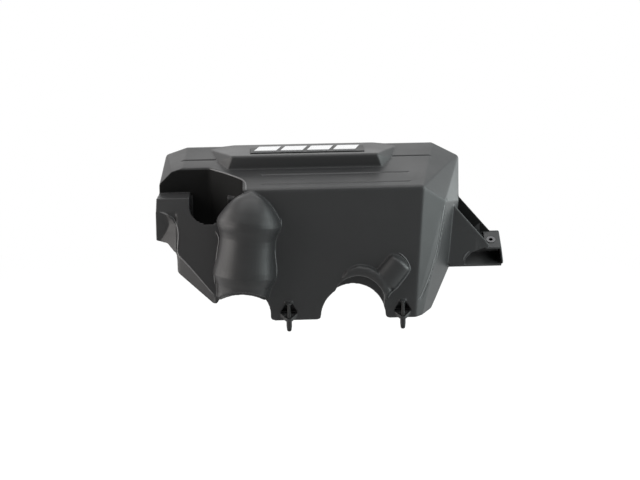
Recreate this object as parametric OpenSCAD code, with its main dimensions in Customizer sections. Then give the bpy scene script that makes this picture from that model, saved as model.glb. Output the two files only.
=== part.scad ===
/* [Moulding] */
// Wall thickness of the moulding
wall = 3; // [2.4:0.1:3.6]
// Radius of the outer corners of the body
corner_r = 8; // [5:0.5:10]

/* [Front face] */
// Height of the front face at its upper edge
face_h = 211; // [196:1:226]
// Backward lean of the front face, in degrees
face_lean = 6; // [3:0.5:9]
// Distance of the lower front edge behind the axis of the locating pins
pin_setback = 5; // [3:0.5:8]
// Left end of the body, from the left pin
left_x = -213; // [-225:1:-205]
// Right end of the front face, from the left pin
face_right_x = 214; // [206:1:222]

/* [Top] */
// Slope of the top, rising towards the back, in degrees
top_rise = 9.5; // [7:0.5:12]
// Distance from the pin axis to the far edge of the top
top_back_y = 210; // [195:1:225]
// Distance from the left pin to the left edge of the top, where the end chamfer begins
top_left_x = -171; // [-180:1:-165]
// Distance by which that edge runs inwards at the far rim
top_left_taper = 10; // [0:1:20]
// Distance from the left pin to the right edge of the top
top_right_x = 262; // [250:1:270]
// Distance by which that edge runs inwards at the far rim
top_right_taper = 16; // [0:1:24]
// Drop of the far right corner below the top
far_corner_drop = 21; // [14:1:26]

/* [Right side] */
// Furthest reach of the right side, at the far corner
right_x = 294; // [286:1:302]
// Drop of the crease beside the front face, below the top of that face
crease_drop = 27; // [20:1:36]
// Reach of that crease from the left pin, at its top
crease_top_x = 257; // [250:1:264]
// Reach of that crease at half height
crease_mid_x = 237; // [232:1:242]
// Height at which that reach is measured
crease_mid_z = 78; // [70:1:86]
// Depth of that crease behind the pin axis, at its top
crease_y = 57; // [52:1:62]

/* [Back] */
// Height of the lower edge at the back
back_rim_z = 100; // [80:1:130]
// Backward reach of the back wall, at the level of the pins
back_y = 244; // [235:1:260]
// Height of the lip along the far edge, above the opening in the back
back_lip = 36; // [28:1:60]
// Left edge of that opening, from the left pin
back_open_left_x = -68; // [-78:1:-40]
// Width of the return at the opening's right
back_return = 28; // [22:1:50]
// Rounding of the opening's corners
back_round = 26; // [14:1:34]

/* [Raised pad] */
// Distance from the pin axis to the front of the raised pad
pad_front_y = 107; // [100:1:114]
// Step of the pad above the top, at its front
pad_step = 22; // [16:1:28]
// Step of the pad above the top, at the far edge
pad_back_step = 1.5; // [1:0.5:4]
// Left end of the pad's front edge
pad_left_x = -84; // [-90:1:-76]
// Right end of the pad's front edge
pad_right_x = 148; // [142:1:156]
// Width of the sloping ends of the pad
pad_end_w = 28; // [22:1:36]

/* [Grooves] */
// Width of the styling grooves
groove_w = 3.5; // [2:0.5:4.5]
// Depth of the styling grooves
groove_depth = 1.8; // [1:0.1:2]
// Distance of the front shoulder groove behind the pin axis
front_groove_y = 48; // [44:1:54]
// Distance of the rear shoulder groove behind the pin axis
rear_groove_y = 84; // [78:1:90]
// Distance of the end grooves behind the pin axis
end_groove_y = 149; // [140:1:158]

/* [Corner pocket] */
// Distance from the pin axis to the back wall of the pocket
pocket_back_y = 117; // [112:1:122]
// Height of the ledge in the pocket
ledge_z = 185; // [175:1:195]
// Depth of that ledge, front to back
ledge_depth = 36; // [28:1:42]
// Height of the pocket's floor where it meets the front
floor_low_z = 41; // [35:1:50]
// Right wall of the pocket, from the left pin
pocket_right_x = -69; // [-74:1:-64]
// Half width of the well through the pocket's floor and ledge
well_r = 31; // [27:1:33]
// Place of the well's middle, from the left pin
well_x = -125; // [-130:1:-121]
// Distance from the pin axis to where the well's round front begins
well_y = 76; // [72:1:80]
// Roundness of the well's front, front to back
well_front = 14; // [10:1:18]
// Depth of the well's wall below the ledge
well_depth = 74; // [60:1:90]

/* [Hose blister] */
// Foot of the blister's axis, from the left pin
blister_x = -77; // [-82:1:-72]
// Sideways lean of the blister's axis, in degrees
blister_lean = 6; // [3:0.5:8]
// Radius of the blister at its shoulder
blister_shoulder_r = 51; // [47:1:54]
// Height of that shoulder
blister_shoulder_z = 159; // [154:1:164]
// Radius of the blister at its waist
blister_waist_r = 44; // [40:1:46]
// Height of that waist
blister_waist_z = 136; // [130:1:142]
// Radius of the blister at its belly
blister_belly_r = 50; // [47:1:53]
// Height of that belly
blister_belly_z = 76; // [70:1:82]
// Radius of the blister at its foot
blister_foot_r = 41; // [38:1:44]

/* [Arches] */
// Radius of the arch under the blister
left_arch_r = 45; // [40:1:48]
// Centre of that arch, from the left pin
left_arch_x = -74; // [-78:1:-70]
// Height of that arch's centre
left_arch_z = 9; // [4:1:14]
// Radius of the right arch
right_arch_r = 52; // [48:0.5:55]
// Centre of the right arch, from the left pin
right_arch_x = 103; // [99:1:107]
// Height of the right arch's centre
right_arch_z = 2; // [0:1:6]
// Rounding of the corners beside the arches
foot_r = 6; // [3:0.5:8]
// Height of the rim that stands below the blister's edge
rim_h = 5.5; // [4:0.5:7]
// Step from the blister in to that rim
rim_step = 4; // [3:0.5:5]
// Radius of the hood's lower edge over the right arch
hood_r = 41; // [38:0.5:43]
// Depth of the step behind that edge
hood_depth = 8; // [6:0.5:10]
// Thickest radius of the collar that swells along the hood
collar_r = 10; // [8:0.5:12]
// Radius of the diagonal hose bulge at its foot
tube_foot_r = 22.5; // [20:0.5:25]
// Radius of that bulge at its blunt end
tube_end_r = 21; // [18:0.5:23]
// Length of that bulge, from foot to end
tube_len = 45; // [38:1:52]

/* [Locating pins] */
// Distance between the two locating pins
pin_pitch = 182; // [176:1:188]
// Radius of a pin below its shelf
pin_r = 4.5; // [4.1:0.1:5]
// Radius of a pin's neck, above the shelf
pin_neck_r = 3.2; // [2.8:0.1:3.4]
// Reach of the pins below the lower edge
pin_reach = 17; // [14:0.5:20]
// Length of the plain stretch of a pin, from its shelf down
pin_plain = 8; // [6:0.5:10]
// Height of the niches behind the pins, which run out upwards
niche_z = 27; // [24:0.5:32]
// Width of those niches
niche_w = 30; // [26:0.5:34]
// Depth of those niches at their floor
niche_depth = 12; // [9:0.5:14]
// Gap around a pin's neck where it passes its shelf
pin_gap = 0.25; // [0.15:0.05:0.4]
// Reach of the cup in front of the pin axis
cup_reach = 6; // [5.5:0.5:8]

/* [Side bracket] */
// Distance from the left pin to the bolt boss
boss_x = 337; // [330:1:344]
// Height of the bolt boss
boss_z = 96; // [92:1:100]
// Reach of the bracket beyond the bolt boss
bracket_end_w = 19; // [16:1:24]
// Height of the bracket's lowest edge
bracket_low_z = 56; // [50:1:62]
// Height at which the bracket's webs leave the body
bracket_top_z = 165; // [158:1:172]
// Distance from the pin axis to the front web
bracket_front_y = 90; // [86:1:96]
// Depth of the bracket, over both webs
bracket_depth = 36; // [32:1:40]
// Thickness of the bracket's webs
web = 2.6; // [2.2:0.1:3]
// Radius of the bolt boss
boss_r = 8; // [7.5:0.25:9]
// Length of the bolt boss
boss_len = 12; // [10:0.5:14]
// Forward tilt of the boss's axis, in degrees
boss_tilt = 27; // [20:1:32]
// Bore of the sleeve in the boss
sleeve_bore_r = 3.3; // [3.1:0.1:3.6]
// Wall of the sleeve
sleeve_wall = 1.6; // [1.2:0.1:2]
// Gap around the sleeve
sleeve_gap = 0.2; // [0.1:0.05:0.3]

/* [Badge] */
// Width of the badge's base
badge_w = 186; // [176:1:196]
// Depth of the badge's base, front to back
badge_depth = 46; // [40:1:52]
// Distance of the badge's middle behind the pin axis
badge_y = 150; // [146:1:156]
// Thickness of the badge's base
badge_base_t = 2.5; // [2:0.1:3]
// Depth to which the base is let into the pad
badge_sink = 1.2; // [0.8:0.1:1.6]
// Gap around the base in its seat
badge_gap = 0.3; // [0.2:0.05:0.5]
// Thickness of the bright bars
bar_t = 2.4; // [1.5:0.1:3]
// Slant of the bright bars' ends, in degrees
bar_slant = 14; // [0:1:25]
// Margin of the base around the bars
bar_margin = 6; // [4:0.5:8]
// Number of bright bars
bar_count = 4; // [3:1:5]
// Gap between bright bars
bar_gap = 7; // [5:0.5:10]

/* [Hidden] */

// Length that reaches past the whole cover, and the fineness of balls, small balls, rounds and the bulge
far = 500;
ball_fn = 20;
fine_fn = 12;
round_fn = 56;
tube_fn = 36;

// Depth of the front face at a height
function face_y(z) = pin_setback + z * tan(face_lean);
// Height of the top at a distance behind the pin axis
function top_z(y) = face_h + (y - face_y(face_h)) * tan(top_rise);
// Point between two points
function between(a, b, t) = a + (b - a) * t;

// Level to which the walls are drawn down before their lower edge is trimmed
skirt_z = -40;
// Foot of the crease: its height, and its distance from the front face's right end and behind the face
crease_foot_z = 20;
crease_foot = [5, 5];
// The same at the level of the trimmed-off walls
crease_end = [28, 14];
// Draw of the ends: how far the walls lean inwards towards the back and the bottom
left_draw = 10;
left_top_draw = 14;
face_draw = 8;
flank_foot = [face_right_x + 6, 80];
back_foot_x = face_right_x + 20;
// Drop of the left end chamfer, at the front and at the far edge
chamfer_drop_front = 34;
chamfer_drop_back = 10;
// Depth of the crease at half height
crease_mid_y = crease_y - 18;
// The right side's widest line, where the bracket stands: its reach, depth and height
flank_x = right_x - 10;
flank_y = 115;
flank_z = face_h - crease_drop - 13;
// The same line, lower down, where the side turns in
flank_low_x = right_x - 23;
flank_low_y = 105;
flank_low_z = 62;

// Corners of the body, sharp, each with the direction in which its ball is drawn in
body_corners = [
  [[left_x, face_y(skirt_z), skirt_z], [1, 1, 0]],
  [[left_x, face_y(face_h - chamfer_drop_front), face_h - chamfer_drop_front], [1, 1, -1]],
  [[top_left_x, face_y(face_h), face_h], [0, 1, -1]],
  [[face_right_x, face_y(face_h), face_h], [0, 1, -1]],
  [[face_right_x - face_draw, face_y(skirt_z), skirt_z], [-1, 1, 0]],
  [[crease_top_x, crease_y, face_h - crease_drop], [-1, 0, -1]],
  [[crease_mid_x, crease_mid_y, crease_mid_z], [-1, 0, 0]],
  [[face_right_x - crease_foot[0], face_y(crease_foot_z) + crease_foot[1], crease_foot_z], [-1, 0, 0]],
  [[face_right_x - crease_end[0], face_y(skirt_z) + crease_end[1], skirt_z], [-1, 0, 0]],
  [[flank_x, flank_y, flank_z], [-1, 0, -1]],
  [[flank_low_x, flank_low_y, flank_low_z], [-1, 0, 0]],
  [[flank_foot[0], flank_foot[1], skirt_z], [-1, 0, 0]],
  [[top_left_x + top_left_taper, top_back_y, top_z(top_back_y)], [0, -1, -1]],
  [[top_right_x - top_right_taper, top_back_y, top_z(top_back_y)], [0, -1, -1]],
  [[right_x, top_back_y, top_z(top_back_y) - far_corner_drop], [-1, -1, -1]],
  [[left_x + left_top_draw, top_back_y, top_z(top_back_y) - chamfer_drop_back], [1, -1, -1]],
  [[left_x + left_draw, back_y, skirt_z], [1, -1, 0]],
  [[back_foot_x, back_y, skirt_z], [-1, -1, 0]]
];

module body_form(inset) {
  hull()
    for (c = body_corners)
      translate(c[0] + corner_r * c[1])
        sphere(r = corner_r - inset, $fn = inset > 0 ? fine_fn : ball_fn);
}

// Skirt seen from above: its left front corner steps back round the pocket
skirt_step_w = 36;
skirt_step_y = 71;
skirt_left_y = 41;
skirt_foot = [-117, 9];
skirt_round = 10;
module skirt_outline(inset) {
  offset(delta = -inset)
    offset(r = skirt_round, $fn = round_fn)
      offset(delta = -skirt_round)
        polygon([
          [-far, skirt_step_y], [left_x + skirt_step_w, skirt_step_y],
          [left_x + skirt_step_w, skirt_left_y], skirt_foot, [skirt_foot[0], -far], [far, -far],
          [far, far], [-far, far]
        ]);
}

module skirted_body(inset) {
  intersection() {
    body_form(inset);
    translate([0, 0, -far])
      linear_extrude(2 * far)
        skirt_outline(inset);
  }
}

// Corner pocket seen from the left: back wall, ledge and sloping floor
ledge_y = pocket_back_y - ledge_depth;
floor_y = 8;
floor_run = 70;
floor_slope = (ledge_z - floor_low_z) / (ledge_y - floor_y);
module pocket_profile(grow) {
  offset(delta = grow)
    polygon([
      [pocket_back_y, far], [pocket_back_y, ledge_z], [ledge_y, ledge_z],
      [floor_y - floor_run, floor_low_z - floor_run * floor_slope],
      [-far, floor_low_z - floor_run * floor_slope], [-far, far]
    ]);
}

// Corner pocket seen from above; its right back corner is cut off
pocket_cut_w = 54;
pocket_cut_y = 70;
pocket_round = 14;
rim_groove_w = 2;
module pocket_outline(grow) {
  offset(delta = grow)
    offset(r = pocket_round, $fn = round_fn)
      offset(delta = -pocket_round)
        polygon([
          [-far, pocket_back_y], [pocket_right_x - pocket_cut_w, pocket_back_y], [pocket_right_x, pocket_cut_y],
          [pocket_right_x, -far], [-far, -far]
        ]);
}

module pocket(grow) {
  intersection() {
    translate([-far, 0, 0])
      rotate([90, 0, 90])
        linear_extrude(2 * far)
          pocket_profile(grow);
    translate([0, 0, -far])
      linear_extrude(2 * far)
        pocket_outline(grow);
  }
}

// Well seen from above: round at its front, flush with the pocket's walls at the back
module well_outline(grow) {
  offset(delta = grow)
    intersection() {
      union() {
        translate([well_x, well_y])
          scale([1, well_front / well_r])
            circle(r = well_r, $fn = round_fn);
        translate([well_x - well_r, well_y])
          square([2 * well_r, pocket_back_y - well_y]);
      }
      pocket_outline(0);
    }
}

// Opening of the well through the pocket's ledge and floor
module well_opening() {
  translate([0, 0, ledge_z - well_depth - wall])
    linear_extrude(well_depth + 2 * wall)
      well_outline(0);
}

// Wall that hangs down around the well, slightly thinner than the other walls
well_wall_t = wall - 0.4;
module well_wall() {
  intersection() {
    form(wall - 0.2);
    translate([0, 0, ledge_z - well_depth])
      linear_extrude(well_depth + wall / 2)
        difference() {
          well_outline(well_wall_t);
          well_outline(0);
        }
  }
}

// Raised pad: steps up at its front and runs out into the top at the far edge
pad_r = 5;
pad_foot_w = 10;
pad_root = 4;
pad_fade = 1;
pad_back_end_w = 1.5 * pad_end_w;
module pad_ball(x, y, z, inset) {
  translate([x, y, z - pad_r])
    sphere(r = pad_r - inset, $fn = inset > 0 ? fine_fn : ball_fn);
}

module raised_pad(inset) {
  front = pad_front_y + pad_r;
  back = top_back_y - pad_r;
  hull()
    for (side = [-1, 1]) {
      x = side < 0 ? pad_left_x : pad_right_x;
      pad_ball(x, front, pad_front_z, inset);
      pad_ball(x, back, pad_back_z, inset);
      pad_ball(x + side * pad_foot_w, front, top_z(pad_front_y) - pad_root, inset);
      pad_ball(x + side * pad_end_w, end_groove_y, top_z(end_groove_y) - pad_fade, inset);
      pad_ball(x + side * pad_back_end_w, back, top_z(back) - 2 * pad_fade, inset);
    }
}
pad_front_z = top_z(pad_front_y) + pad_step;
pad_back_z = top_z(top_back_y) + pad_back_step;

// Smooth curve through points, with a number of steps between neighbours
function blend(a, b, c, d, t) =
  (2 * b + (c - a) * t + (2 * a - 5 * b + 4 * c - d) * t ^ 2 + (3 * b - a - 3 * c + d) * t ^ 3) / 2;
function curve(p, steps) = [
  for (i = [0 : len(p) - 2], j = [0 : steps - 1])
    blend(p[max(i - 1, 0)], p[i], p[i + 1], p[min(i + 2, len(p) - 1)], j / steps),
  p[len(p) - 1]
];

// Bottle-shaped blister over the hose: radius and height along its axis, foot to crown
blister_crown_z = face_h - 1;
blister_profile = [
  [blister_foot_r, skirt_z], [blister_foot_r, blister_belly_z - 30], [blister_belly_r, blister_belly_z],
  [between(blister_waist_r, blister_belly_r, 0.3), between(blister_belly_z, blister_waist_z, 0.5)],
  [blister_waist_r, blister_waist_z], [blister_shoulder_r, blister_shoulder_z],
  [between(blister_shoulder_r, 0, 0.16), between(blister_shoulder_z, blister_crown_z, 0.33)],
  [between(blister_shoulder_r, 0, 0.38), between(blister_shoulder_z, blister_crown_z, 0.62)],
  [between(blister_shoulder_r, 0, 0.63), between(blister_shoulder_z, blister_crown_z, 0.84)],
  [0, blister_crown_z]
];

module blister(inset) {
  translate([blister_x, face_y(0), 0])
    rotate([-face_lean, blister_lean, 0])
      rotate_extrude($fn = round_fn)
        intersection() {
          offset(delta = -inset)
            polygon(concat([[-20, skirt_z]], curve(blister_profile, 3), [[-20, blister_crown_z]]));
          translate([0, -far])
            square(2 * far);
        }
}

// The blister, stepped in along the arch so that a rim stands below its edge
module rimmed_blister(inset) {
  difference() {
    blister(inset);
    translate([left_arch_x, 0, left_arch_z])
      rotate([90, 0, 0])
        cylinder(r = left_arch_r + rim_h + inset, h = 2 * far, center = true, $fn = round_fn);
  }
  blister(inset + rim_step);
}

// Place of the hood over the right arch, and the step behind its lower edge
hood_x = right_arch_x + 9;
hood_z = right_arch_z + 27;
module hood_step(grow) {
  translate([hood_x, face_y(hood_z), hood_z])
    rotate([90 - face_lean, 0, 0])
      translate([0, 0, -hood_depth - grow])
        cylinder(r = hood_r + grow, h = far, $fn = round_fn);
}

// Collar that swells along the hood's lower edge: angle, share of its thickest radius, and stand off the face
collar_steps = [
  [124, 0.35, 0], [108, 0.8, 0], [90, 1, 1], [72, 1, 4], [56, 1, 8], [40, 1, 12], [24, 0.85, 10], [6, 0.35, 2]
];

module collar_ball(step, inset) {
  r = collar_r * step[1];
  z = hood_z + (hood_r + 0.75 * r) * sin(step[0]);
  translate([hood_x + (hood_r + 0.75 * r) * cos(step[0]), face_y(z) - step[2], z])
    sphere(r = max(r - inset, 0.4), $fn = fine_fn);
}

module arch_collar(inset) {
  for (i = [0 : len(collar_steps) - 2])
    hull() {
      collar_ball(collar_steps[i], inset);
      collar_ball(collar_steps[i + 1], inset);
    }
}

// Bulge over the hose that leaves the right arch towards the upper right: foot of its axis, and slope
tube_foot = [right_arch_x + 48, 56];
tube_angle = 50;
tube_round = 7;
tube_dome = 6;
module hose_bulge(inset) {
  translate([tube_foot[0], face_y(tube_foot[1]) + 2, tube_foot[1]])
    rotate([-face_lean, 0, 0])
      rotate([0, 90 - tube_angle, 0])
        rotate_extrude($fn = tube_fn)
          intersection() {
            offset(delta = -inset)
              offset(r = tube_round, $fn = tube_fn / 2)
                offset(delta = -tube_round)
                  polygon([
                    [-tube_foot_r, 0], [tube_foot_r, 0], [tube_end_r, tube_len],
                    [0.5 * tube_end_r, tube_len + 0.75 * tube_dome], [0, tube_len + tube_dome],
                    [-tube_foot_r, tube_len + tube_dome]
                  ]);
            translate([0, -far])
              square(2 * far);
          }
}

// Niche that a locating pin stands in: deep and wide at its floor, running out at its top
niche_floor_z = 9;
niche_top_w = 9;
module niche_edge(x, w, from_y, to_y, z, grow) {
  translate([x - w / 2 - grow, from_y, z - grow])
    cube([w + 2 * grow, to_y - from_y + grow, 1 + 2 * grow]);
}

module niche(x, grow) {
  hull() {
    niche_edge(x, niche_w, 0, face_y(niche_floor_z) + niche_depth, niche_floor_z, grow);
    niche_edge(x, niche_top_w, 0, face_y(niche_z) + 0.5, niche_z - 1, grow);
  }
}

// Cup below the niche: a beak-shaped wall with a floor that the pin's shoulder seats under
cup_wall = 1.8;
cup_floor = 3;
module cup_form(x, inset, low_z, high_z) {
  hull() {
    translate([x - niche_w / 2 + inset, face_y(0) + 1, niche_floor_z - 1 + low_z])
      cube([niche_w - 2 * inset, wall - 1.5, high_z]);
    translate([x, 0, low_z])
      cylinder(r = cup_reach - inset, h = high_z, $fn = 32);
  }
}

module pin_cup(x) {
  difference() {
    cup_form(x, 0, 0, cup_floor + 1);
    cup_form(x, cup_wall, cup_floor, niche_z);
    translate([x, 0, skirt_z])
      cylinder(r = pin_neck_r + pin_gap, h = niche_z - skirt_z, $fn = 40);
  }
}

// Brow above the niche, whose underside the pin's neck reaches
brow_t = 2.4;
brow_w = 13;
module brow(x) {
  hull() {
    translate([x - brow_w / 2, face_y(niche_z), niche_z])
      cube([brow_w, 2, brow_t + 2]);
    translate([x - pin_neck_r, -pin_neck_r, niche_z])
      cube([2 * pin_neck_r, 2, brow_t - 1]);
  }
}

// The whole form of the cover, drawn in by a distance: outside at none, inside at one wall
module form(inset) {
  difference() {
    union() {
      difference() {
        union() {
          skirted_body(inset);
          raised_pad(inset);
        }
        pocket(inset);
      }
      rimmed_blister(inset);
      arch_collar(inset);
      hose_bulge(inset);
    }
    hood_step(inset);
    for (x = [0, pin_pitch])
      niche(x, inset);
  }
}

// Lower edge of the skirt at the left, as seen from the front: distance from the left end, and height
skirt_foot_z = 28;
skirt_edge = [[-far, 119], [0, 119], [21, 113], [34, 97], [skirt_step_w, 73]];

// Everything below the lower edge and inside the arches, as seen from the front
module below_front_edge() {
  rotate([90, 0, 0])
    linear_extrude(2 * far, center = true)
      offset(r = -foot_r, $fn = round_fn)
        offset(delta = foot_r) {
          polygon(concat(
            [[-far, -far]],
            [for (p = skirt_edge) [left_x + p[0], p[1]]],
            [[left_arch_x - left_arch_r, skirt_foot_z], [left_arch_x, 0], [far, 0], [far, -far]]
          ));
          translate([left_arch_x, left_arch_z])
            circle(r = left_arch_r, $fn = round_fn);
          translate([right_arch_x, right_arch_z])
            circle(r = right_arch_r, $fn = round_fn);
        }
}

// Everything below the lower edge, as seen from the side: it rises towards the back
side_rise_y = 45;
side_mid_z = 50;
module below_side_edge() {
  translate([-far, 0, 0])
    rotate([90, 0, 90])
      linear_extrude(2 * far)
        polygon([
          [-far, -far], [-far, -1], [side_rise_y, -1], [flank_y, side_mid_z], [back_y, back_rim_z],
          [far, back_rim_z], [far, -far]
        ]);
}

// Opening in the back wall, below the lip; the wall stays whole behind the pocket and its well
module back_opening() {
  lip_z = top_z(top_back_y) - back_lip;
  translate([0, far, 0])
    rotate([90, 0, 0])
      linear_extrude(far - top_back_y + 12)
        offset(r = back_round, $fn = round_fn)
          offset(delta = -back_round)
            polygon([
              [back_open_left_x, skirt_z - far], [back_open_left_x, lip_z],
              [right_x - back_return, lip_z], [back_foot_x - back_return, skirt_z],
              [back_foot_x - back_return, skirt_z - far]
            ]);
}

// One groove in the top, from one place along it to another
module groove(from_x, to_x, y, w = groove_w) {
  translate([from_x, y, top_z(y)])
    rotate([top_rise, 0, 0])
      translate([0, -w / 2, -groove_depth])
        cube([to_x - from_x, w, groove_depth + 2]);
}

// Groove along the crease of the right side, from the fold above down to the foot
crease_groove_r = 1.6;
crease_groove_foot = [
  face_right_x - crease_foot[0] + 3.3, face_y(crease_foot_z) + crease_foot[1] - 0.3, crease_foot_z + 7
];
crease_line = [
  [crease_top_x + 1, crease_y + 3, face_h - crease_drop - 4],
  [
    between(crease_mid_x, crease_top_x, 0.63), between(crease_mid_y, crease_y, 0.63),
    between(crease_mid_z, face_h - crease_drop, 0.5)
  ],
  [crease_mid_x + 7, crease_mid_y + 6.8, crease_mid_z + 21],
  [crease_mid_x + 0.6, crease_mid_y - 1.6, crease_mid_z + 4],
  [
    between(crease_groove_foot[0], crease_mid_x, 0.41), between(crease_groove_foot[1], crease_mid_y, 0.35),
    between(crease_groove_foot[2], crease_mid_z, 0.35)
  ],
  crease_groove_foot
];
module crease_groove() {
  for (i = [0 : len(crease_line) - 2])
    hull()
      for (p = [crease_line[i], crease_line[i + 1]])
        translate(p)
          sphere(r = crease_groove_r, $fn = fine_fn / 2);
}

groove_left_x = -40;
groove_margin = 15;
module grooves() {
  for (y = [front_groove_y, rear_groove_y])
    groove(groove_left_x, face_right_x - groove_margin, y);
  groove(top_left_x, pad_left_x - pad_end_w, end_groove_y);
  groove(pad_right_x + pad_end_w, top_right_x - groove_margin, end_groove_y);
  groove(top_left_x, pocket_right_x - pocket_cut_w, pocket_back_y + rim_groove_w / 2, rim_groove_w);
}

// Stiffening ribs under the top
rib_t = 2;
rib_z = 198;
rib_places = [-20, 70, 160, 235];
rib_front_y = 36;
cross_rib_y = 128;
cross_rib_x = -60;
module ribs() {
  intersection() {
    form(wall - 0.2);
    union() {
      for (x = rib_places)
        translate([x, rib_front_y, rib_z])
          cube([rib_t, far, far]);
      translate([cross_rib_x, cross_rib_y, rib_z])
        cube([far, rib_t, far]);
    }
  }
}

// Side bracket: two webs, a floor, an end wall and a tilted shelf with the bolt boss
bracket_root_x = right_x - 46;
bracket_back_y = bracket_front_y + bracket_depth;
bracket_end_x = boss_x + bracket_end_w;
boss_y = bracket_front_y + bracket_depth / 2 - 1;
shelf_front_z = boss_z - (boss_y - bracket_front_y) * tan(boss_tilt);
shelf_back_z = boss_z + (bracket_back_y - boss_y) * tan(boss_tilt);
floor_rise = 13;
shelf_rim = 1.4;

// Upright plate with the given outline, its front at y
module upright(y, points) {
  translate([0, y + web, 0])
    rotate([90, 0, 0])
      linear_extrude(web)
        polygon(points);
}

module at_boss() {
  translate([boss_x, boss_y, boss_z])
    rotate([boss_tilt, 0, 0])
      children();
}

// Bar of the bracket's plates, from one x to another
module edge_bar(from_x, to_x, y, z) {
  translate([from_x, y, z])
    cube([to_x - from_x, web, web]);
}

module side_bracket() {
  difference() {
    union() {
      upright(bracket_front_y, [
        [bracket_root_x, bracket_low_z + 9], [bracket_root_x, bracket_top_z + 5], [right_x - 22, bracket_top_z - 2],
        [boss_x - 11, shelf_front_z + 13], [boss_x - 4, shelf_front_z + 3], [boss_x - 13, shelf_front_z],
        [boss_x - 34, shelf_front_z - 8], [boss_x - 43, bracket_low_z + 13], [boss_x - 46, bracket_low_z],
        [boss_x - 60, bracket_low_z + 3]
      ]);
      upright(bracket_back_y - web, [
        [bracket_root_x, bracket_low_z + floor_rise], [bracket_root_x, bracket_top_z + 5],
        [right_x - 8, bracket_top_z + 1], [boss_x, shelf_back_z + shelf_rim],
        [bracket_end_x - 4, shelf_back_z + shelf_rim], [bracket_end_x - 3, shelf_back_z - 1],
        [bracket_end_x, bracket_low_z + floor_rise]
      ]);
      hull() {
        edge_bar(bracket_root_x, bracket_end_x - 3, bracket_front_y, bracket_low_z);
        edge_bar(bracket_root_x, bracket_end_x, bracket_back_y - web, bracket_low_z + floor_rise);
      }
      hull() {
        edge_bar(bracket_end_x - 3 - web, bracket_end_x - 3, bracket_front_y + 2, shelf_front_z - 1.5 * web);
        edge_bar(bracket_end_x - 3 - web, bracket_end_x - 3, bracket_back_y - web, shelf_back_z - 1.5 * web);
        edge_bar(bracket_end_x - web, bracket_end_x, bracket_back_y - web, bracket_low_z + floor_rise);
        edge_bar(bracket_end_x - web, bracket_end_x, bracket_front_y, bracket_low_z + 4);
      }
      hull() {
        edge_bar(boss_x - 11, bracket_end_x - 3.5, bracket_front_y + 1, shelf_front_z - web);
        edge_bar(boss_x - 11, bracket_end_x - 3.5, bracket_back_y - web, shelf_back_z - web);
      }
      at_boss()
        translate([0, 0, -boss_len])
          cylinder(r = boss_r, h = boss_len, $fn = 40);
    }
    at_boss()
      translate([0, 0, -boss_len - 10])
        cylinder(r = sleeve_bore_r + sleeve_wall + sleeve_gap, h = boss_len + 20, $fn = 40);
    at_boss()
      cylinder(r = boss_r + 1, h = 20, $fn = 40);
  }
}

// Frame of the badge: near the middle of the pad, with its base's underside at zero height
badge_shift = 5;
pad_pitch = atan((pad_back_z - pad_front_z) / (top_back_y - pad_front_y));
badge_x = (pad_left_x + pad_right_x) / 2 + badge_shift;
badge_z = pad_front_z + (badge_y - pad_front_y) * tan(pad_pitch) - badge_sink;
module at_badge() {
  translate([badge_x, badge_y, badge_z])
    rotate([pad_pitch, 0, 0])
      children();
}

module cover_shell() {
  color([0.07, 0.07, 0.075])
    difference() {
      union() {
        difference() {
          form(0);
          form(wall);
        }
        ribs();
        well_wall();
        difference() {
          side_bracket();
          form(wall);
        }
        for (x = [0, pin_pitch]) {
          pin_cup(x);
          brow(x);
        }
      }
      back_opening();
      below_front_edge();
      below_side_edge();
      grooves();
      crease_groove();
      well_opening();
      at_badge()
        translate([-badge_w / 2 - badge_gap, -badge_depth / 2 - badge_gap, 0])
          cube([badge_w + 2 * badge_gap, badge_depth + 2 * badge_gap, 20]);
    }
}

// Locating pin: tapered neck up to the brow, shoulder under the cup, plain stretch and lead-in
neck_top_r = 2.2;
lead_in = 0.8;
tip_h = 1.5;
module locating_pin(x) {
  end_r = pin_r - lead_in;
  color([0.3, 0.3, 0.32])
    translate([x, 0, 0])
      rotate_extrude($fn = round_fn)
        polygon([
          [0, niche_z], [neck_top_r, niche_z], [pin_neck_r, cup_floor + 2], [pin_neck_r, 0], [pin_r, 0],
          [pin_r, -pin_plain], [end_r, tip_h - pin_reach], [end_r - 0.7 * tip_h, -pin_reach], [0, -pin_reach]
        ]);
}

// Steel sleeve that takes the bolt's clamping force, with its flange on the boss
flange_t = 1;
module bracket_sleeve() {
  color([0.7, 0.7, 0.72])
    at_boss()
      difference() {
        union() {
          translate([0, 0, -boss_len])
            cylinder(r = sleeve_bore_r + sleeve_wall, h = boss_len + flange_t, $fn = 40);
          cylinder(r = boss_r - 0.5, h = flange_t, $fn = 40);
        }
        translate([0, 0, -boss_len - 1])
          cylinder(r = sleeve_bore_r, h = boss_len + flange_t + 2, $fn = 40);
      }
}

module badge_base() {
  color([0.02, 0.02, 0.02])
    at_badge()
      translate([-badge_w / 2, -badge_depth / 2, 0])
        cube([badge_w, badge_depth, badge_base_t]);
}

// Plain slanted bar, counted from the left
module badge_bar(i) {
  depth = badge_depth - 2 * bar_margin;
  lean = depth * tan(bar_slant);
  pitch = (badge_w - 2 * bar_margin + bar_gap - lean) / bar_count;
  color([0.85, 0.86, 0.88])
    at_badge()
      translate([-badge_w / 2 + bar_margin + (i - 1) * pitch, -depth / 2, badge_base_t])
        linear_extrude(bar_t)
          polygon([[0, 0], [pitch - bar_gap, 0], [pitch - bar_gap + lean, depth], [lean, depth]]);
}

cover_shell();
locating_pin(0);  // left_pin
locating_pin(pin_pitch);  // right_pin
bracket_sleeve();
badge_base();
for (i = [1 : bar_count])
  badge_bar(i);
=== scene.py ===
"""Looks of the moulded engine cover: soft-edged shell, pins, sleeve and badge, with studio light."""

import math

import bmesh
import bpy
import numpy as np
from mathutils import Matrix, Vector
from mathutils.bvhtree import BVHTree


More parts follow.
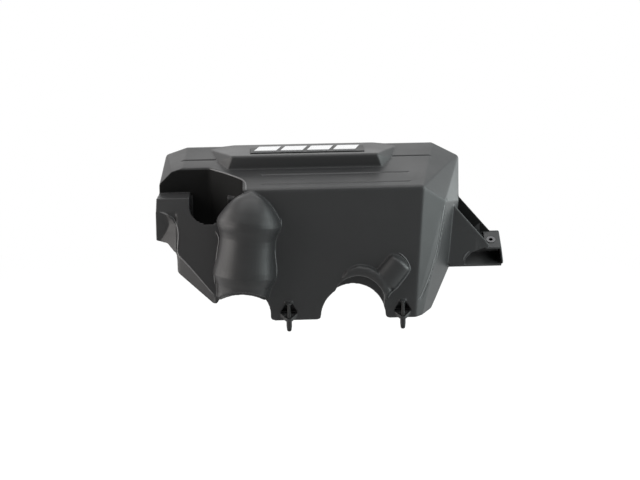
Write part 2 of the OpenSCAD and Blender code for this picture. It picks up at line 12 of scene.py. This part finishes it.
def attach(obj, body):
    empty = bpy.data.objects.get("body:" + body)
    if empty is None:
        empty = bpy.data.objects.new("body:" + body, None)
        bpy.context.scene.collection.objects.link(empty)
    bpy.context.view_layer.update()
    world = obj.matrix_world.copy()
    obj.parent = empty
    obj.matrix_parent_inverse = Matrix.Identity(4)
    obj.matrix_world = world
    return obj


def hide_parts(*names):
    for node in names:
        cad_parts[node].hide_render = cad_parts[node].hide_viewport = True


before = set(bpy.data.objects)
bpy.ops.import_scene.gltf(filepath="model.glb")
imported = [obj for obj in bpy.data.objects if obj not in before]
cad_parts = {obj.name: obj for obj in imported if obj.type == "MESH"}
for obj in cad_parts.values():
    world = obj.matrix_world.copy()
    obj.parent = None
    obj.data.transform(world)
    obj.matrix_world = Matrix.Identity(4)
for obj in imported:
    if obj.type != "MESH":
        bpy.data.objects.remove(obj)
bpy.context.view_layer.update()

MM = 0.001

# Camera: the photograph's angle, distance and scale
IMAGE_W, IMAGE_H = 640, 480
VIEW_ELEVATION = math.radians(16.0)
VIEW_AZIMUTH = math.radians(-2.0)
VIEW_ROLL = math.radians(0.8)
VIEW_DISTANCE = 2.5
METRES_PER_PIXEL = 0.0016
AIM_POINT = Vector((0.027, 0.005, 0.0))
AIM_PIXEL = (306.0, 319.5)

# Shell: fineness of its skin, the most triangles it keeps, the rounds of smoothing everywhere and in the soft
# places, and the share of the smoothing that the crisp places are spared
SKIN_VOXEL = 1.25 * MM
SKIN_TRIANGLES = 190000
BASE_ROUNDS = 12
SOFT_ROUNDS = 60
CRISP_SHARE = 0.8
# One round of smoothing: a step inwards and a slightly longer one back out
STEPS = (0.5, -0.52)


def add_camera():
    """Camera that shows AIM_POINT at AIM_PIXEL from the photograph's direction."""
    back = Vector((
        math.sin(VIEW_AZIMUTH) * math.cos(VIEW_ELEVATION),
        -math.cos(VIEW_AZIMUTH) * math.cos(VIEW_ELEVATION),
        math.sin(VIEW_ELEVATION)))
    level = Vector((math.cos(VIEW_AZIMUTH), math.sin(VIEW_AZIMUTH), 0))
    rise = back.cross(level)
    right = level * math.cos(VIEW_ROLL) - rise * math.sin(VIEW_ROLL)
    up = level * math.sin(VIEW_ROLL) + rise * math.cos(VIEW_ROLL)
    off_x = (AIM_PIXEL[0] - IMAGE_W / 2) * METRES_PER_PIXEL
    off_y = (AIM_PIXEL[1] - IMAGE_H / 2) * METRES_PER_PIXEL
    place = AIM_POINT + back * VIEW_DISTANCE - right * off_x + up * off_y
    data = bpy.data.cameras.new("camera")
    data.sensor_width = 36
    data.lens = VIEW_DISTANCE / METRES_PER_PIXEL / IMAGE_W * data.sensor_width
    data.clip_end = 100
    camera = bpy.data.objects.new("camera", data)
    bpy.context.scene.collection.objects.link(camera)
    turn = Matrix((right, up, back)).transposed().to_4x4()
    camera.matrix_world = Matrix.Translation(place) @ turn
    bpy.context.scene.camera = camera


def link(name, mesh):
    """Puts a mesh into the scene as an object."""
    obj = bpy.data.objects.new(name, mesh)
    bpy.context.scene.collection.objects.link(obj)
    return obj


def smooth_shading(mesh):
    mesh.polygons.foreach_set("use_smooth", np.ones(len(mesh.polygons), bool))
    mesh.update()


def apply_modifiers(obj):
    """Replaces an object's mesh by the result of its modifiers."""
    graph = bpy.context.evaluated_depsgraph_get()
    mesh = bpy.data.meshes.new_from_object(obj.evaluated_get(graph))
    old = obj.data
    obj.modifiers.clear()
    obj.data = mesh
    bpy.data.meshes.remove(old)


def vertices_of(mesh):
    """Places of a mesh's points, one row each."""
    co = np.zeros(len(mesh.vertices) * 3, np.float32)
    mesh.vertices.foreach_get("co", co)
    return co.reshape(-1, 3).astype(np.float64)


def edges_of(mesh):
    """The two points of each of a mesh's edges, one row each."""
    ends = np.zeros(len(mesh.edges) * 2, np.int32)
    mesh.edges.foreach_get("vertices", ends)
    return ends.reshape(-1, 2)


def relax(co, edges, strength, rounds):
    """Smooths a mesh without shrinking it, each point by its own strength."""
    count = len(co)
    a, b = edges[:, 0], edges[:, 1]
    degree = np.bincount(a, minlength=count) + np.bincount(b, minlength=count)
    degree = np.maximum(degree, 1)[:, None]
    for _ in range(rounds):
        for step in STEPS:
            total = np.empty_like(co)
            for k in range(3):
                total[:, k] = np.bincount(a, co[b, k], count) + np.bincount(b, co[a, k], count)
            co = co + step * strength * (total / degree - co)
    return co


# Places where the moulding's edges are softer: centre, half size and depth of the fade, in millimetres
SOFT_PLACES = [
    ((-98, 160, 235), (34, 62, 22), 14),  # left end of the raised pad
    ((168, 160, 235), (38, 62, 22), 14),  # right end of the raised pad
    ((226, 30, 110), (24, 34, 90), 14),  # bevel at the right of the front face
    ((-72, 10, 150), (30, 30, 60), 10),  # hose blister
    ((140, -4, 78), (30, 16, 14), 8),  # bulge over the right arch
    ((-26, 14, 180), (16, 16, 16), 10),  # right side of the blister's crown
    ((150, 6, 92), (10, 14, 12), 8),  # upper left side of the bulge
]
# Places that stay crisp, because their parts are thin
CRISP_PLACES = [
    ((318, 108, 110), (54, 24, 66), 6),  # side bracket
    ((0, 4, 14), (20, 22, 19), 4),  # left pin's niche
    ((182, 4, 14), (20, 22, 19), 4),  # right pin's niche
    ((80, 48, 212), (122, 4, 14), 3),  # near groove in the top
    ((80, 84, 216), (122, 4, 14), 3),  # far groove in the top
    ((-165, 149, 228), (52, 4, 12), 3),  # groove at the left of the pad
    ((210, 149, 228), (36, 4, 12), 3),  # groove at the right of the pad
    ((-165, 118, 224), (52, 3, 8), 3),  # groove behind the pocket's rim
]
# Lines that stay crisp: points and reach, in millimetres
CRISP_LINES = [
    # crease at the right of the front face
    ([(258, 60, 180), (249.6, 50.3, 131), (244, 45.8, 99), (237.6, 37.4, 82), (222.4, 21.3, 44.9),
      (212.3, 11.8, 27)], 7),
]


def inside(co, place):
    """One inside the place, falling to nothing over its fade."""
    centre, half, fade = (np.array(v, float) * MM for v in place)
    beyond = np.maximum(np.abs(co - centre) - half, 0)
    return np.clip(1 - np.sqrt((beyond ** 2).sum(1)) / fade, 0, 1)


def along(co, line):
    """One on the line, falling to nothing over its reach."""
    points = np.array(line[0], float) * MM
    nearest = np.full(len(co), np.inf)
    for start, end in zip(points[:-1], points[1:]):
        step = end - start
        share = np.clip((co - start) @ step / (step @ step), 0, 1)
        away = co - start - share[:, None] * step
        nearest = np.minimum(nearest, np.sqrt((away ** 2).sum(1)))
    return np.clip(2 - 2 * nearest / (line[1] * MM), 0, 1)


# Direction in which a point moves away from the viewer, so that its outline stays in place
DEPTH = np.array([0.035, 1.0, -0.287])
# Low wall at the left end, in millimetres: where it stands, its left edge, and the slope that it gets
END_WALL_Y = 71
END_WALL_LEFT = -216
END_WALL_SLOPE = 0.7
# Its turn fades out upwards, downwards and backwards: where the fade ends or starts, and its length
END_WALL_TOP, END_WALL_TOP_FADE = 168, 10
END_WALL_FOOT, END_WALL_FOOT_FADE = 92, 8
END_WALL_BACK, END_WALL_BACK_FADE = 76, 70
# Edge of the slanted panel beside it: heights, the place across at each, and how far the turn reaches over it
PANEL_EDGE_Z = [104.2, 119.2, 132.3, 143.9, 152.3, 161.9]
PANEL_EDGE_X = [-175.8, -175.1, -174.2, -176.2, -182, -192.4]
PANEL_OVERLAP, PANEL_OVERLAP_FADE = 1.5, 1.2
# Slanted panel as the end wall's points meet it along the line of sight: its place at a height, its slope,
# how much the slanting sight stretches it, and the clearance behind it
PANEL_Y, PANEL_Z = 41.4, 83.8
PANEL_SLOPE = 0.471
PANEL_SIGHT = 1.135
PANEL_CLEAR = 0.4


def turn_end(co):
    """Turns the low wall at the left end towards the left, about the edge of the panel beside it."""
    x, y, z = (co / MM).T
    edge_x = np.interp(z, PANEL_EDGE_Z, PANEL_EDGE_X)
    hinge = (PANEL_Y + PANEL_SLOPE * (z - PANEL_Z)) / PANEL_SIGHT + PANEL_CLEAR
    wanted = hinge + END_WALL_SLOPE * np.maximum(edge_x - x, 0)
    share = np.clip((edge_x + PANEL_OVERLAP - x) / PANEL_OVERLAP_FADE, 0, 1)
    share *= np.clip((END_WALL_TOP - z) / END_WALL_TOP_FADE, 0, 1)
    share *= np.clip((z - END_WALL_FOOT) / END_WALL_FOOT_FADE, 0, 1)
    share *= np.clip(x - END_WALL_LEFT, 0, 1)
    share *= np.clip(1 - (y - END_WALL_BACK) / END_WALL_BACK_FADE, 0, 1)
    forward = np.clip(y - hinge, 0, np.maximum(END_WALL_Y - wanted, 0))
    return co - (share * forward)[:, None] * DEPTH * MM


def drop_doubles(mesh):
    """Takes out pairs of faces that lie on the same points, on their own."""
    mesh.validate()
    work = bmesh.new()
    work.from_mesh(mesh)
    single = [face for face in work.faces if all(edge.is_boundary for edge in face.edges)]
    bmesh.ops.delete(work, geom=single, context="FACES")
    work.to_mesh(mesh)
    work.free()


def make_shell():
    """The moulding's skin, remeshed evenly, with softened edges, in the place of the CAD shell."""
    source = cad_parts["cover_shell"]
    shell = link("cover_skin", source.data.copy())
    remesh = shell.modifiers.new("remesh", "REMESH")
    remesh.mode = "VOXEL"
    remesh.voxel_size = SKIN_VOXEL
    apply_modifiers(shell)
    co = vertices_of(shell.data)
    edges = edges_of(shell.data)
    co = turn_end(co)
    crisp = [inside(co, place) for place in CRISP_PLACES] + [along(co, line) for line in CRISP_LINES]
    crisp = np.max(crisp, axis=0)[:, None]
    soft = np.max([inside(co, place) for place in SOFT_PLACES], axis=0)[:, None]
    co = relax(co, edges, 1 - CRISP_SHARE * crisp, BASE_ROUNDS)
    co = relax(co, edges, soft * (1 - crisp), SOFT_ROUNDS)
    shell.data.vertices.foreach_set("co", co.astype(np.float32).ravel())
    shell.data.update()
    triangles = sum(len(p.vertices) - 2 for p in shell.data.polygons)
    if triangles > SKIN_TRIANGLES:
        thin = shell.modifiers.new("thin", "DECIMATE")
        thin.ratio = SKIN_TRIANGLES / triangles
        apply_modifiers(shell)
    drop_doubles(shell.data)
    smooth_shading(shell.data)
    return shell


# Fine beads that rim the moulding's forms, dressed in a lighter plastic that paints a highlight along the
# edges: radius and points, in millimetres
BEADS = [
    # edge of the slanted panel, over the low wall at the left end
    (1.3, [(-205.5, 71.5, 166.2), (-192.4, 71, 161.9), (-182, 71, 152.3), (-175.7, 60.1, 143.9),
           (-173.7, 54.3, 132.3), (-174.6, 47.7, 119.2), (-175.3, 41.4, 104.2), (-166.5, 35.4, 94.5),
           (-155.9, 29.9, 84.3), (-136.7, 19.5, 63.7), (-118.3, 9.7, 43)]),
    # pocket's upper rim
    (1.2, [(-124, 116.5, 224.5), (-107, 103, 223), (-85, 84.5, 220), (-77, 77, 218.3), (-70, 68, 216.6),
           (-65, 58, 214.8), (-63.5, 40, 211.6), (-63.5, 26, 209)]),
    # left and right foot of the hose blister
    (1.2, [(-115.8, 56.7, 137), (-110.6, 52.8, 129.3), (-109, 46, 122), (-111, 42, 115), (-114, 36, 95),
           (-117, 27, 76), (-117, 17, 58)]),
    (1.2, [(-9.7, 22.3, 165.1), (-9.6, 21.1, 155.4), (-15.5, 20, 148), (-21, 19, 139), (-22, 17, 121),
           (-19.7, 14.4, 99), (-18.7, 12.3, 79.1), (-24, 10, 64), (-34, 8, 50)]),
    # foot of the bulge
    (1.2, [(175.8, 14.8, 105.6), (185.4, 13.8, 97.6), (191.6, 12.7, 88.6), (193.8, 11.7, 79.6),
           (191.7, 10.9, 74.7), (187.1, 9.9, 66.2), (177.2, 8.3, 53.6), (169.3, 7.2, 45.4),
           (162.4, 6.6, 40.2), (157.3, 5.9, 34.5), (155.4, 5.4, 29.1)]),
    # crease at the right
    (1.1, [(255.3, 58.4, 182.3), (251.2, 48.3, 164.5), (247.1, 44.5, 140.7), (243.7, 41.6, 121.6),
           (239.8, 38.1, 100.9), (233.7, 31.9, 83.7), (228.3, 26.6, 67.4), (218.9, 18, 46),
           (208.7, 8.6, 28.1), (205.1, 6.1, 28.5)]),
    # corner of the bracket's web
    (1.2, [(301.2, 90, 82.5), (295.7, 90, 79.2), (290.5, 90, 72.8), (290.2, 90, 69), (290.9, 90, 64.7)]),
]
# Length of a bead's pieces in millimetres, its sides, and the share of its radius that is sunk
BEAD_STEP = 1.5
BEAD_SIDES = 10
BEAD_SUNK = 0.35
# Rounds that smooth its path, and its thickness at the tips with the growth per piece
BEAD_ROUNDS = 6
BEAD_TIP, BEAD_GROWTH = 0.25, 0.15
# Direction from which its first ring starts, and the fineness of the curve through its points
BEAD_SIDE = (0.3, -0.8, 0.5)
CURVE_SHARE = 0.05


def curve_through(points, step):
    """Evenly spaced points on a smooth curve through the given ones."""
    p = np.array(points, float)
    p = np.vstack([2 * p[0] - p[1], p, 2 * p[-1] - p[-2]])
    fine = []
    for a, b, c, d in zip(p[:-3], p[1:-2], p[2:-1], p[3:]):
        for t in np.arange(0, 1, CURVE_SHARE):
            fine.append(0.5 * (2 * b + (c - a) * t + (2 * a - 5 * b + 4 * c - d) * t ** 2
                               + (3 * b - a - 3 * c + d) * t ** 3))
    fine.append(p[-2])
    fine = np.array(fine)
    run = np.concatenate([[0], np.cumsum(np.linalg.norm(np.diff(fine, axis=0), axis=1))])
    stops = np.linspace(0, run[-1], max(int(run[-1] / step), 4))
    return np.stack([np.interp(stops, run, fine[:, k]) for k in range(3)], axis=1)


def path_on(tree, line, radius):
    """A bead's path on the surface, through the points of its line."""
    path = []
    for place in curve_through(line, BEAD_STEP):
        spot, normal, _, _ = tree.find_nearest(Vector(place * MM))
        path.append(np.array(spot - normal * BEAD_SUNK * radius * MM))
    path = np.array(path)
    for _ in range(BEAD_ROUNDS):
        path[1:-1] = 0.5 * path[1:-1] + 0.25 * (path[:-2] + path[2:])
    return path


def add_tube(points, faces, path, radius):
    """Adds a closed round tube along the path, thinner at both ends."""
    ahead = np.gradient(path, axis=0)
    ahead /= np.linalg.norm(ahead, axis=1)[:, None]
    side = np.cross(ahead[0], BEAD_SIDE)
    start, count = len(points), len(path)
    for i in range(count):
        side = side - (side @ ahead[i]) * ahead[i]
        side /= np.linalg.norm(side)
        third = np.cross(ahead[i], side)
        thin = min(1.0, BEAD_TIP + BEAD_GROWTH * min(i, count - 1 - i))
        for k in range(BEAD_SIDES):
            turn = 2 * math.pi * k / BEAD_SIDES
            points.append(path[i] + radius * MM * thin * (math.cos(turn) * side + math.sin(turn) * third))
    for i in range(count - 1):
        for k in range(BEAD_SIDES):
            a, b = start + i * BEAD_SIDES + k, start + i * BEAD_SIDES + (k + 1) % BEAD_SIDES
            faces.append((a, b, b + BEAD_SIDES, a + BEAD_SIDES))
    faces.append(tuple(start + k for k in reversed(range(BEAD_SIDES))))
    faces.append(tuple(start + (count - 1) * BEAD_SIDES + k for k in range(BEAD_SIDES)))


def make_beads(shell):
    """Beads half sunk into the shell's surface."""
    skin = shell.data
    tree = BVHTree.FromPolygons([v.co for v in skin.vertices], [p.vertices for p in skin.polygons])
    points, faces = [], []
    for radius, line in BEADS:
        add_tube(points, faces, path_on(tree, line, radius), radius)
    mesh = bpy.data.meshes.new("cover_beads")
    mesh.from_pydata([tuple(v) for v in points], [], faces)
    smooth_shading(mesh)
    return link("cover_beads", mesh)


# Deep places painted in shade with a darker, less glossy plastic: lowest and highest corners in millimetres,
# the direction that their faces look in, and how nearly
PAINTED_SHADE_PLACES = [
    ((283, 91.5, 106), (337, 126, 172), (0, -1, 0), -0.5),  # bracket's channel
    ((-207, 84, 182), (-84, 132, 223), (0, -1, 0), 0.6),  # pocket, above its ledge
    ((-152, 76, 128), (-84, 132, 182), (0, -1, 0), 0.3),  # pocket's well
    ((-92, 24, 130), (-60, 104, 222), (-0.66, -0.75, 0), 0.7),  # pocket's right wall
]


def mark_painted_shade(obj):
    """Gives the faces in the deep places the second material, a darker and duller plastic that is painted
    shade.
    """
    count = len(obj.data.polygons)
    centre = np.zeros(count * 3, np.float32)
    normal = np.zeros(count * 3, np.float32)
    obj.data.polygons.foreach_get("center", centre)
    obj.data.polygons.foreach_get("normal", normal)
    centre, normal = centre.reshape(-1, 3) / MM, normal.reshape(-1, 3)
    painted_shade = np.zeros(count, bool)
    for low, high, facing, least in PAINTED_SHADE_PLACES:
        painted_shade |= ((centre > low) & (centre < high)).all(1) & (normal @ np.array(facing) > least)
    obj.data.polygons.foreach_set("material_index", painted_shade.astype(np.int32))
    obj.data.update()


class Nodes:
    """Short way to write a material's nodes."""

    def __init__(self, name):
        self.material = bpy.data.materials.new(name)
        self.material.use_nodes = True
        self.tree = self.material.node_tree
        self.shader = self.tree.nodes["Principled BSDF"]

    def add(self, kind, **values):
        """Adds a node and sets its inputs or properties by name."""
        node = self.tree.nodes.new(kind)
        for key, value in values.items():
            if key in node.inputs:
                node.inputs[key].default_value = value
            else:
                setattr(node, key, value)
        return node

    def link(self, a, out, b, to):
        """Joins an output of one node to an input of another."""
        self.tree.links.new(a.outputs[out], b.inputs[to])


# Size of the plastic's grain, in millimetres
GRAIN_MM = 0.7
# Slow changes over the plastic: their scale per metre, and how far tone and roughness swing
CLOUD_SCALE = 14.0
TONE_SWING = 0.12
ROUGHNESS_SWING = (0.05, 0.06)
# Half the width of the change to the tip's colour (painted shade on the pins), in millimetres
TIP_BLUR = 0.5
# Lines in the metals: their scale per metre, and the factors that they put on the roughness
LINE_SCALE = 900.0
LINE_ROUGHNESS = (0.8, 1.25)


def moulded_plastic(name, colour, roughness, gloss, grain=0.12, tip=None):
    """Moulded plastic: fine spark-eroded grain, with slow changes of gloss and tone.

    tip is a second colour and the height, in millimetres, under which it takes over; the pins use it to paint
    their tips in shade.
    """
    n = Nodes(name)
    n.shader.inputs["Specular IOR Level"].default_value = gloss
    place = n.add("ShaderNodeTexCoord")
    grains = n.add("ShaderNodeTexNoise", Scale=1 / (GRAIN_MM * MM), Detail=3.0, Roughness=0.6)
    n.link(place, "Object", grains, "Vector")
    cloud = n.add("ShaderNodeTexNoise", Scale=CLOUD_SCALE, Detail=4.0, Roughness=0.55)
    n.link(place, "Object", cloud, "Vector")
    bump = n.add("ShaderNodeBump", Strength=grain, Distance=0.15 * MM)
    n.link(grains, "Fac", bump, "Height")
    n.link(bump, "Normal", n.shader, "Normal")
    rough = n.add("ShaderNodeMapRange")
    rough.inputs["From Min"].default_value = 0.3
    rough.inputs["From Max"].default_value = 0.7
    rough.inputs["To Min"].default_value = roughness - ROUGHNESS_SWING[0]
    rough.inputs["To Max"].default_value = roughness + ROUGHNESS_SWING[1]
    n.link(cloud, "Fac", rough, "Value")
    n.link(rough, "Result", n.shader, "Roughness")
    tone = n.add("ShaderNodeMix", data_type="RGBA")
    tone.inputs[6].default_value = (*[c * (1 - TONE_SWING) for c in colour], 1)
    tone.inputs[7].default_value = (*[c * (1 + TONE_SWING) for c in colour], 1)
    n.link(cloud, "Fac", tone, 0)
    base = tone.outputs[2]
    if tip:
        split = n.add("ShaderNodeSeparateXYZ")
        n.link(place, "Object", split, "Vector")
        below = n.add("ShaderNodeMapRange")
        below.inputs["From Min"].default_value = (tip[1] + TIP_BLUR) * MM
        below.inputs["From Max"].default_value = (tip[1] - TIP_BLUR) * MM
        n.link(split, "Z", below, "Value")
        both = n.add("ShaderNodeMix", data_type="RGBA")
        both.inputs[7].default_value = (*tip[0], 1)
        n.link(below, "Result", both, 0)
        n.tree.links.new(base, both.inputs[6])
        base = both.outputs[2]
    n.tree.links.new(base, n.shader.inputs["Base Color"])
    return n.material


def brushed_metal(name, colour, roughness, stretch=(1, 1, 1), depth=0.05):
    """Metal with fine lines or a fine haze in its finish."""
    n = Nodes(name)
    n.shader.inputs["Metallic"].default_value = 1.0
    n.shader.inputs["Base Color"].default_value = (*colour, 1)
    place = n.add("ShaderNodeTexCoord")
    mapping = n.add("ShaderNodeMapping")
    mapping.inputs["Scale"].default_value = stretch
    n.link(place, "Object", mapping, "Vector")
    lines = n.add("ShaderNodeTexNoise", Scale=LINE_SCALE, Detail=2.0)
    n.link(mapping, "Vector", lines, "Vector")
    bump = n.add("ShaderNodeBump", Strength=depth, Distance=0.05 * MM)
    n.link(lines, "Fac", bump, "Height")
    n.link(bump, "Normal", n.shader, "Normal")
    rough = n.add("ShaderNodeMapRange")
    rough.inputs["To Min"].default_value = roughness * LINE_ROUGHNESS[0]
    rough.inputs["To Max"].default_value = roughness * LINE_ROUGHNESS[1]
    n.link(lines, "Fac", rough, "Value")
    n.link(rough, "Result", n.shader, "Roughness")
    return n.material


def dress(obj, material):
    """Gives an object one material."""
    obj.data.materials.clear()
    obj.data.materials.append(material)


# Rounding of the bright bars' edges, in millimetres
BAR_EDGE = 0.8


def soft_edge(obj, width):
    """Rounded edges on a CAD part, their width in millimetres."""
    bevel = obj.modifiers.new("edge", "BEVEL")
    bevel.width = width * MM
    bevel.segments = 3
    bevel.limit_method = "ANGLE"
    bevel.angle_limit = math.radians(40)


# Tints of the lamps
WHITE = (1, 1, 1)
WARM = (1.0, 0.96, 0.93)
COOL = (0.90, 1.0, 0.99)
# Lamps: name, place, what it faces, size in metres, watts, tint, and whether reflections show it
LAMPS = [
    ("overhead", (0.03, 0.2, 1.7), (0.03, 0.08, 0.1), (2.0, 1.2), 22, WHITE, True),
    ("back_panel", (0.03, 2.0, 1.3), (0.03, 0.08, 0.1), (2.4, 1.0), 8, WHITE, True),
    ("left_low", (-0.95, 0.1, 0.05), (0.0, 0.1, 0.05), (1.8, 0.6), 5, WARM, True),
    ("left_high", (-0.95, 0.0, 0.62), (0.0, 0.1, 0.15), (1.4, 0.5), 8, WARM, True),
    ("left_fill", (-0.95, 0.0, 0.62), (0.0, 0.1, 0.15), (1.4, 0.5), 20, WARM, False),
    ("left_flank", (-0.95, -0.25, 0.08), (-0.06, 0.0, 0.1), (0.7, 0.5), 4, WARM, True),
    ("right_low", (1.0, 0.15, 0.17), (0.0, 0.15, 0.17), (1.9, 0.44), 5.5, COOL, True),
    ("right_high", (1.0, -0.05, 0.65), (0.0, 0.1, 0.15), (1.1, 0.5), 9, COOL, True),
    ("right_fill", (1.0, -0.05, 0.65), (0.0, 0.1, 0.15), (1.1, 0.5), 24, COOL, False),
    ("right_flank", (0.95, 0.05, 0.03), (-0.06, 0.0, 0.1), (0.7, 0.45), 4, COOL, True),
]


def add_light(name, place, target, size, power, colour, glossy):
    """Soft panel that the camera doesn't see."""
    data = bpy.data.lights.new(name, "AREA")
    data.shape = "RECTANGLE"
    data.size, data.size_y = size
    data.energy = power
    data.color = colour
    lamp = bpy.data.objects.new(name, data)
    bpy.context.scene.collection.objects.link(lamp)
    lamp.location = place
    lamp.rotation_euler = (Vector(target) - Vector(place)).to_track_quat("-Z", "Y").to_euler()
    lamp.visible_camera = False
    lamp.visible_glossy = glossy


# Floor: its height and half width in metres
FLOOR_Z = -0.30
FLOOR_HALF = 12.0
# Share of plain white in the floor as the camera sees it, under the object and far away; the rest is lit,
# and takes the shadow
FLOOR_WHITE = (0.86, 1.0)
FLOOR_WHITE_REACH = (0.7, 1.6)
# Light of the surroundings on the object
WORLD_LIGHT = 0.05


def looked_at(tree):
    """One for the camera's rays and for those that come by a reflection or through glass."""
    path = tree.nodes.new("ShaderNodeLightPath")
    total = path.outputs["Is Camera Ray"]
    for name in ("Is Glossy Ray", "Is Transmission Ray"):
        most = tree.nodes.new("ShaderNodeMath")
        most.operation = "MAXIMUM"
        tree.links.new(total, most.inputs[0])
        tree.links.new(path.outputs[name], most.inputs[1])
        total = most.outputs[0]
    return total


def white_emission(tree):
    """Plain white, whatever light falls on it."""
    glow = tree.nodes.new("ShaderNodeEmission")
    glow.inputs["Color"].default_value = (1, 1, 1, 1)
    glow.inputs["Strength"].default_value = 1.0
    return glow.outputs[0]


def add_stage():
    """Plain pale floor that shows as the photograph's white, and keeps the shadow."""
    mesh = bpy.data.meshes.new("floor")
    h = FLOOR_HALF
    corners = [(-h, -h, FLOOR_Z), (h, -h, FLOOR_Z), (h, h, FLOOR_Z), (-h, h, FLOOR_Z)]
    mesh.from_pydata(corners, [], [(0, 1, 2, 3)])
    floor = link("floor", mesh)
    n = Nodes("floor")
    n.shader.inputs["Base Color"].default_value = (0.9, 0.9, 0.9, 1)
    n.shader.inputs["Roughness"].default_value = 0.9
    place = n.add("ShaderNodeTexCoord")
    away = n.add("ShaderNodeVectorMath", operation="LENGTH")
    n.link(place, "Object", away, 0)
    white = n.add("ShaderNodeMapRange")
    white.inputs["From Min"].default_value, white.inputs["From Max"].default_value = FLOOR_WHITE_REACH
    white.inputs["To Min"].default_value, white.inputs["To Max"].default_value = FLOOR_WHITE
    n.link(away, "Value", white, "Value")
    share = n.add("ShaderNodeMath", operation="MULTIPLY")
    n.tree.links.new(looked_at(n.tree), share.inputs[0])
    n.link(white, "Result", share, 1)
    mix = n.add("ShaderNodeMixShader")
    n.tree.links.new(share.outputs[0], mix.inputs[0])
    n.tree.links.new(n.shader.outputs[0], mix.inputs[1])
    n.tree.links.new(white_emission(n.tree), mix.inputs[2])
    n.tree.links.new(mix.outputs[0], n.tree.nodes["Material Output"].inputs["Surface"])
    dress(floor, n.material)


def add_world():
    """Dim surroundings for the light, white where the camera or a reflection looks."""
    world = bpy.data.worlds.new("studio")
    bpy.context.scene.world = world
    world.use_nodes = True
    tree = world.node_tree
    plain = tree.nodes["Background"]
    plain.inputs["Color"].default_value = (1, 1, 1, 1)
    plain.inputs["Strength"].default_value = WORLD_LIGHT
    white = tree.nodes.new("ShaderNodeBackground")
    white.inputs["Color"].default_value = (1, 1, 1, 1)
    white.inputs["Strength"].default_value = 1.0
    mix = tree.nodes.new("ShaderNodeMixShader")
    tree.links.new(looked_at(tree), mix.inputs[0])
    tree.links.new(plain.outputs[0], mix.inputs[1])
    tree.links.new(white.outputs[0], mix.inputs[2])
    tree.links.new(mix.outputs[0], tree.nodes["World Output"].inputs[0])


add_camera()

# Colours are linear, and roughness follows them
black = moulded_plastic("cover_plastic", (0.012, 0.012, 0.0124), 0.40, gloss=0.22)
# Darker, less glossy plastic for the deep places: painted shade in the recesses
painted_shade = moulded_plastic("cover_recess_painted_shade", (0.0035, 0.0035, 0.0035), 0.55, gloss=0.05)
# Lighter, glossier plastic for the beads: a painted highlight along the edges
painted_highlight = moulded_plastic("cover_rim_painted_highlight", (0.05, 0.05, 0.051), 0.32, gloss=0.4)
# Pins: the near-black colour at their lower ends is painted shade
grey = moulded_plastic("pin_plastic", (0.006, 0.006, 0.006), 0.34, gloss=0.25, grain=0.06,
                       tip=((0.0005, 0.0005, 0.0005), -11.5))
gloss_black = moulded_plastic("badge_gloss", (0.003, 0.003, 0.003), 0.3, gloss=0.06, grain=0.02)
steel = brushed_metal("sleeve_steel", (0.075, 0.075, 0.077), 0.40)
bright = brushed_metal("badge_bright", (0.86, 0.87, 0.88), 0.16, stretch=(0.2, 1, 1), depth=0.02)

shell = make_shell()
dress(shell, black)
# Second material on the deep places: painted shade
shell.data.materials.append(painted_shade)
mark_painted_shade(shell)
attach(shell, "root")
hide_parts("cover_shell")
beads = make_beads(shell)
# The beads' lighter colour paints a highlight along the edges
dress(beads, painted_highlight)
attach(beads, "root")

for name in ("left_pin", "right_pin"):
    dress(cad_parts[name], grey)
dress(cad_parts["bracket_sleeve"], steel)
dress(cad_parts["badge_base"], gloss_black)
for name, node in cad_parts.items():
    if name.startswith("badge_bar_"):
        dress(node, bright)
        soft_edge(node, BAR_EDGE)

add_stage()
add_world()
for lamp in LAMPS:
    add_light(*lamp)
bpy.context.scene.view_settings.view_transform = "Standard"
